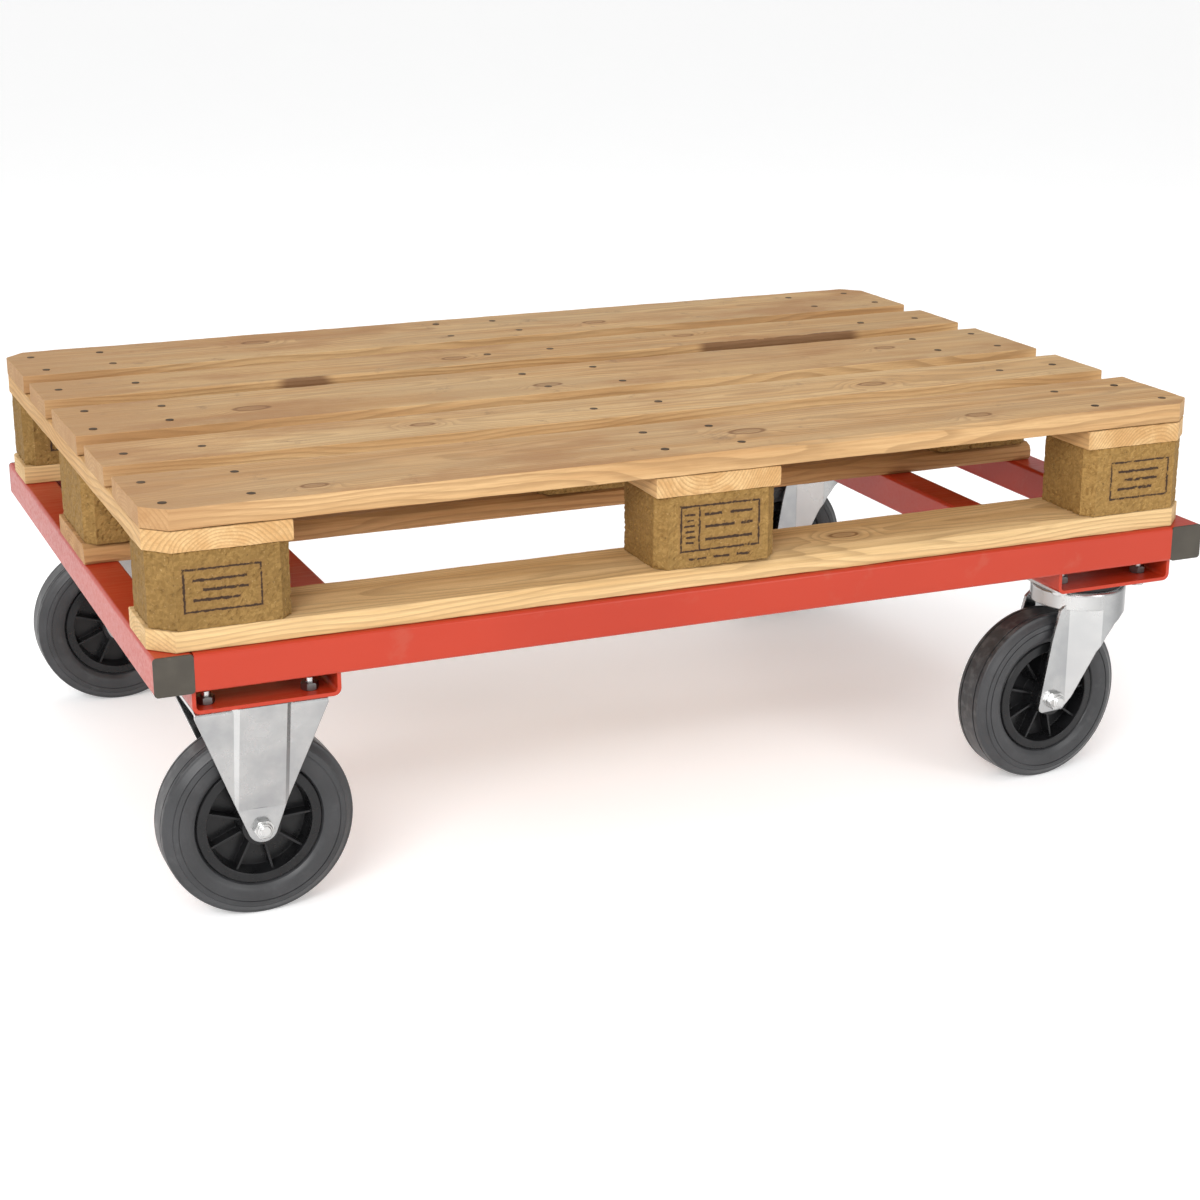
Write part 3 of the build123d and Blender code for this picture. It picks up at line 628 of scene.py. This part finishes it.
MIDDLE_LOOK = {"light": (0.50, 0.28, 0.115), "dark": (0.38, 0.19, 0.07), "tint": (0.40, 0.25, 0.12)}
BLOCK_SHADES = (0.82, 0.92, 1.0)
FRAME_MARK = [
    (0, 21, 38, 0.9), (0, -21, 38, 0.9), (-38, 0, 0.9, 22), (38, 0, 0.9, 22),
    (-2, 10, 27, 1.3), (3, 0, 22, 1.3), (-6, -10, 23, 1.3),
]
TALLY_MARK = [
    (2, 27, 45, 0.9), (-43, 3, 0.9, 25), (47, 3, 0.9, 25), (-22, 3, 0.9, 24), (2, -21, 45, 0.9),
    (-33, 18, 6, 0.9), (-33, 12, 4, 0.9), (-33, 6, 6, 0.9),
    (-33, 0, 5, 0.9), (-33, -6, 6, 0.9), (-33, -12, 4, 0.9),
    (-6, 17, 10, 1.3), (26, 17, 13, 1.3), (2, 4, 17, 1.3), (33, 4, 7, 1.3), (12, -10, 27, 1.3),
    (-24, -30, 10, 1.1), (4, -30, 9, 1.1), (30, -30, 8, 1.1),
]


def mm_box(node):
    low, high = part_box(node)
    return np.array(low) / MM, np.array(high) / MM


def pulse(place, spots):
    """A smooth bump from 0 to 1 that is high at each of the spots (centre, half width)."""
    return max(math.exp(-((place - centre) / half) ** 2) for centre, half in spots)


def deck_wane(place):
    """The front board's bark edge, bared along its right half."""
    size = pulse(place, [(150, 110), (330, 130)]) * 7
    return size, 1.3 * size


def bark_wane(place):
    """The fourth board's edge, missing where the bark shows."""
    size = pulse(place, BARK_SPOTS)
    return 4 * size, 7 * size


def bottom_wane(place):
    """The front bottom board's bark edge, bared from the middle to near its right end."""
    size = 15 * min(1.0, max(0.0, (place + 60) / 140)) * min(1.0, max(0.0, (455 - place) / 90))
    return 1.25 * size, 0.85 * size


def rear_wane(place):
    """A shallow hollow in the rear bottom board's outer edge."""
    size = pulse(place, [(-200, 200)])
    return 3 * size, 4 * size


def chamfers(first, last):
    """Plan chamfers of the first board of a row along its low side, and of the last along its high side."""
    low, high = CHAMFER if first else 0, CHAMFER if last else 0
    return low, high, low, high


def side_rows(node):
    """The front and the rear row of a node that runs along both long sides, as (low y, high y)."""
    low, high = mm_box(node)
    return (low[1], low[1] + SIDE_WIDTH), (high[1] - SIDE_WIDTH, high[1])


def build_deck():
    bark_stretches = [(middle * MM, half * MM) for middle, half in BARK_SPOTS]
    wanes = {1: {"low_top": deck_wane}, BARK_BOARD: {"low_top": bark_wane}}
    for i, deck in enumerate(DECK_LOOKS, 1):
        low, high = mm_box(f"deck_board_{i}")
        heart = ((low[1] + high[1]) / 2 * MM + deck["pith"][0], high[2] * MM + deck["pith"][1])
        bark = (low[1] * MM, bark_stretches) if i == BARK_BOARD else None
        look = wood(
            f"deck_wood_{i}", deck["light"], deck["dark"], "x", heart, 3.1 * i,
            weather=deck["weather"], knots=deck["knots"], bark=bark,
        )
        corner = chamfers(i == 1, i == len(DECK_LOOKS))
        piece = board(
            f"weathered_deck_board_{i}", low, high, "x", look, "deck_wood", 11 + i, corner, wanes.get(i),
        )
        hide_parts(f"deck_board_{i}")


def build_stringers(columns):
    low, high = mm_box("stringer_boards")
    for i, (x, pith) in enumerate(zip(columns, STRINGER_PITHS)):
        heart = (x * MM + pith[0], high[2] * MM + pith[1])
        look = wood(f"stringer_wood_{i}", grain="y", pith=heart, seed=7.3 + i, ring=0.0036, **STRINGER_LOOK)
        piece = board(
            f"sawn_stringer_{i + 1}", (x - BOARD_HALF, low[1], low[2]), (x + BOARD_HALF, high[1], high[2]),
            "y", look, "frame_wood", 31 + i, chamfers(i == 0, i == 2),
        )
        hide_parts("stringer_boards")


def build_bottom_boards():
    low, high = mm_box("outer_bottom_boards")
    wanes = ({"low_top": bottom_wane}, {"high_top": rear_wane})
    for i, (y0, y1) in enumerate(side_rows("outer_bottom_boards")):
        heart = ((y0 + y1) / 2 * MM, low[2] * MM - 0.045)
        knots = ((0.17, y0 * MM + 0.05, 0.010),)
        look = wood(f"bottom_wood_{i}", grain="x", pith=heart, seed=19.0 + i, knots=knots, **BOTTOM_LOOK)
        piece = board(
            f"sawn_bottom_board_{i + 1}", (low[0], y0, low[2]), (high[0], y1, high[2]),
            "x", look, "frame_wood", 41 + i, chamfers(i == 0, i == 1), wanes[i],
        )
        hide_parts("outer_bottom_boards")
    low, high = mm_box("middle_bottom_board")
    heart = ((low[1] + high[1]) / 2 * MM, low[2] * MM - 0.05)
    look = wood("bottom_wood_middle", grain="x", pith=heart, seed=23.0, **MIDDLE_LOOK)
    rounded_edge = {"low_top": lambda s: (9.0, 10.0), "low_bottom": lambda s: (2.0, 3.0)}
    piece = board("sawn_bottom_board_3", low, high, "x", look, "frame_wood", 47, wane=rounded_edge)
    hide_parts("middle_bottom_board")


def build_blocks(columns):
    low, high = mm_box("outer_blocks")
    outer_corner = {(0, 0): 0, (2, 0): 1, (2, 1): 2, (0, 1): 3}
    for i, x in enumerate(columns):
        bars = TALLY_MARK if i == 1 else FRAME_MARK
        mark = (x * MM, (low[2] + high[2]) / 2 * MM, bars)
        for j, (y0, y1) in enumerate(side_rows("outer_blocks")):
            seed = 60 + 2 * i + j
            look = chipboard(f"chipboard_{i}_{j}", BLOCK_SHADES[i], 3.0 * seed, mark)
            corner = [BLOCK_CHAMFER] * 4
            if (i, j) in outer_corner:
                corner[outer_corner[i, j]] = CHAMFER
            box = (x - BLOCK_HALF, y0, low[2]), (x + BLOCK_HALF, y1, high[2])
            piece = block(f"pressed_block_{i}_{j}", *box, look, seed, corner)
            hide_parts("outer_blocks")
    low, high = mm_box("middle_blocks")
    for i, x in enumerate(columns):
        look = chipboard(f"chipboard_middle_{i}", 0.92, 91.0 + 5 * i)
        box = (x - BLOCK_HALF, low[1], low[2]), (x + BLOCK_HALF, high[1], high[2])
        piece = block(f"pressed_block_middle_{i}", *box, look, 80 + i)
        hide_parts("middle_blocks")


pallet_left = min(mm_box("deck_board_1")[0][0], mm_box("outer_bottom_boards")[0][0])
pallet_right = mm_box("deck_board_5")[1][0]
block_columns = [pallet_left + BOARD_HALF, (pallet_left + pallet_right) / 2, pallet_right - BOARD_HALF]
build_deck()
build_stringers(block_columns)
build_bottom_boards()
build_blocks(block_columns)


# ---------------------------------------------------------------- looks of the CAD pieces

def dress(node, material):
    data = nodes[node].data
    data.materials.clear()
    data.materials.append(material)


slot_looks = {
    "red_paint": red_paint(),
    "zinc_sheet": zinc("zinc_sheet", (0.35, 0.355, 0.36), (0.46, 0.46, 0.455), 0.20, 0.0014),
    "zinc_fastener": zinc("zinc_fastener", (0.46, 0.46, 0.455), (0.60, 0.60, 0.59), 0.22, 0.0005),
    "bright_steel": zinc("bright_steel", (0.60, 0.60, 0.60), (0.72, 0.72, 0.72), 0.18, 0.0004),
    "plug_plastic": plastic(
        "plug_plastic", (0.050, 0.043, 0.033), (0.066, 0.058, 0.045), rough=0.55, edge=0.0012, grain=500.0,
    ),
    "black_plastic": plastic("hub_plastic", (0.006, 0.006, 0.0065), (0.011, 0.011, 0.012), 0.30, 0.0010),
    "seal_rubber": plastic("race_seal", (0.02, 0.02, 0.02), (0.03, 0.03, 0.03), 0.55),
    "cage_plastic": plastic("cage_plastic", (0.16, 0.16, 0.155), (0.24, 0.24, 0.23), 0.45),
    "nail_steel": zinc("nail_iron", (0.075, 0.048, 0.030), (0.17, 0.115, 0.072), 0.62, 0.0004),
}
slots = {part["node"]: part["material_slot"] for part in frame["record"]["subparts"]}
for node in nodes:
    if slots[node] in slot_looks:
        dress(node, slot_looks[slots[node]])
dress("mounting_nuts", zinc("zinc_nut", (0.12, 0.118, 0.115), (0.20, 0.195, 0.19), 0.32, 0.0006))
SWIVEL_REST = math.radians(5)
for corner_name in ("front_left", "rear_left", "front_right", "rear_right"):
    low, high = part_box(f"tyre_{corner_name}")
    turn = SWIVEL_REST if "right" in corner_name else 0.0
    dress(f"tyre_{corner_name}", tyre_rubber(f"rubber_{corner_name}", (low + high) / 2, turn))


# ---------------------------------------------------------------- floor, light and camera

FLOOR_REACH = 99
FLOOR_DARK = (0.86, 0.86, 0.86)
FLOOR_LIGHT = (0.89, 0.89, 0.89)
WHITE = (1.0, 1.0, 1.0)


def studio_floor():
    """A white floor, a little lit by itself, that reaches past the horizon of every view."""
    g = Surface("floor")
    g.shade(Base_Color=g.mix(g.noise(3.0, detail=3.0), FLOOR_DARK, FLOOR_LIGHT))
    g.shade(Roughness=0.9, Specular_IOR_Level=0.1, Emission_Color=WHITE, Emission_Strength=0.30)
    r = FLOOR_REACH
    data = bpy.data.meshes.new("floor")
    data.from_pydata([(-r, -r, 0), (r, -r, 0), (r, r, 0), (-r, r, 0)], [], [(0, 1, 2, 3)])
    data.materials.append(g.material)
    floor = bpy.data.objects.new("floor", data)
    bpy.context.scene.collection.objects.link(floor)


def studio_room():
    """White light from all round: bright and dim panels, brighter to the left, even near the horizon."""
    world = bpy.data.worlds.new("studio")
    world.use_nodes = True
    g = Graph(world.node_tree, "Generated")
    x, _, z = g.split(g.place)[0:3]
    panels = g.span(g.noise(2.6, detail=0.0, rough=0.5), 0.38, 0.62, 0.25, 1.50, "LINEAR")
    sides = g.span(x, -0.9, 0.9, 1.25, 0.50, "LINEAR")
    haze = g.span(g.size_of(z), 0.10, 0.30, 1.0, 0.0, "LINEAR")
    strength = g.node("ShaderNodeMix", {0: haze, 2: g.times(panels, sides), 3: 1.0}, data_type="FLOAT")
    background = g.tree.nodes["Background"]
    g.put(background.inputs["Strength"], strength.outputs[0])
    g.put(background.inputs["Color"], WHITE)
    bpy.context.scene.world = world


def lamp(name, place, aim, size, power):
    light = bpy.data.lights.new(name, "AREA")
    light.shape = "RECTANGLE"
    light.size, light.size_y = size
    light.energy = power
    made = bpy.data.objects.new(name, light)
    bpy.context.scene.collection.objects.link(made)
    made.location = place
    made.rotation_euler = (Vector(aim) - Vector(place)).to_track_quat("-Z", "Y").to_euler()


studio_floor()
studio_room()
lamp("key", (-2.4, -3.2, 2.5), (0, 0, 0.25), (2.0, 1.4), 105)
lamp("fill", (1.6, -3.6, 1.6), (0, 0, 0.2), (1.2, 2.0), 30)
lamp("top", (0.2, 0.6, 3.6), (0, 0, 0.3), (3.0, 2.0), 34)

camera_data = bpy.data.cameras.new("camera")
camera_data.lens = 69.0
camera_data.sensor_width = 36.0
camera = bpy.data.objects.new("camera", camera_data)
bpy.context.scene.collection.objects.link(camera)
camera.location = (-1.0244, -2.4846, 1.0244)
camera.rotation_euler = (math.radians(72.30), 0.0, math.radians(-23.02))
bpy.context.scene.camera = camera
bpy.context.scene.view_settings.view_transform = "Standard"
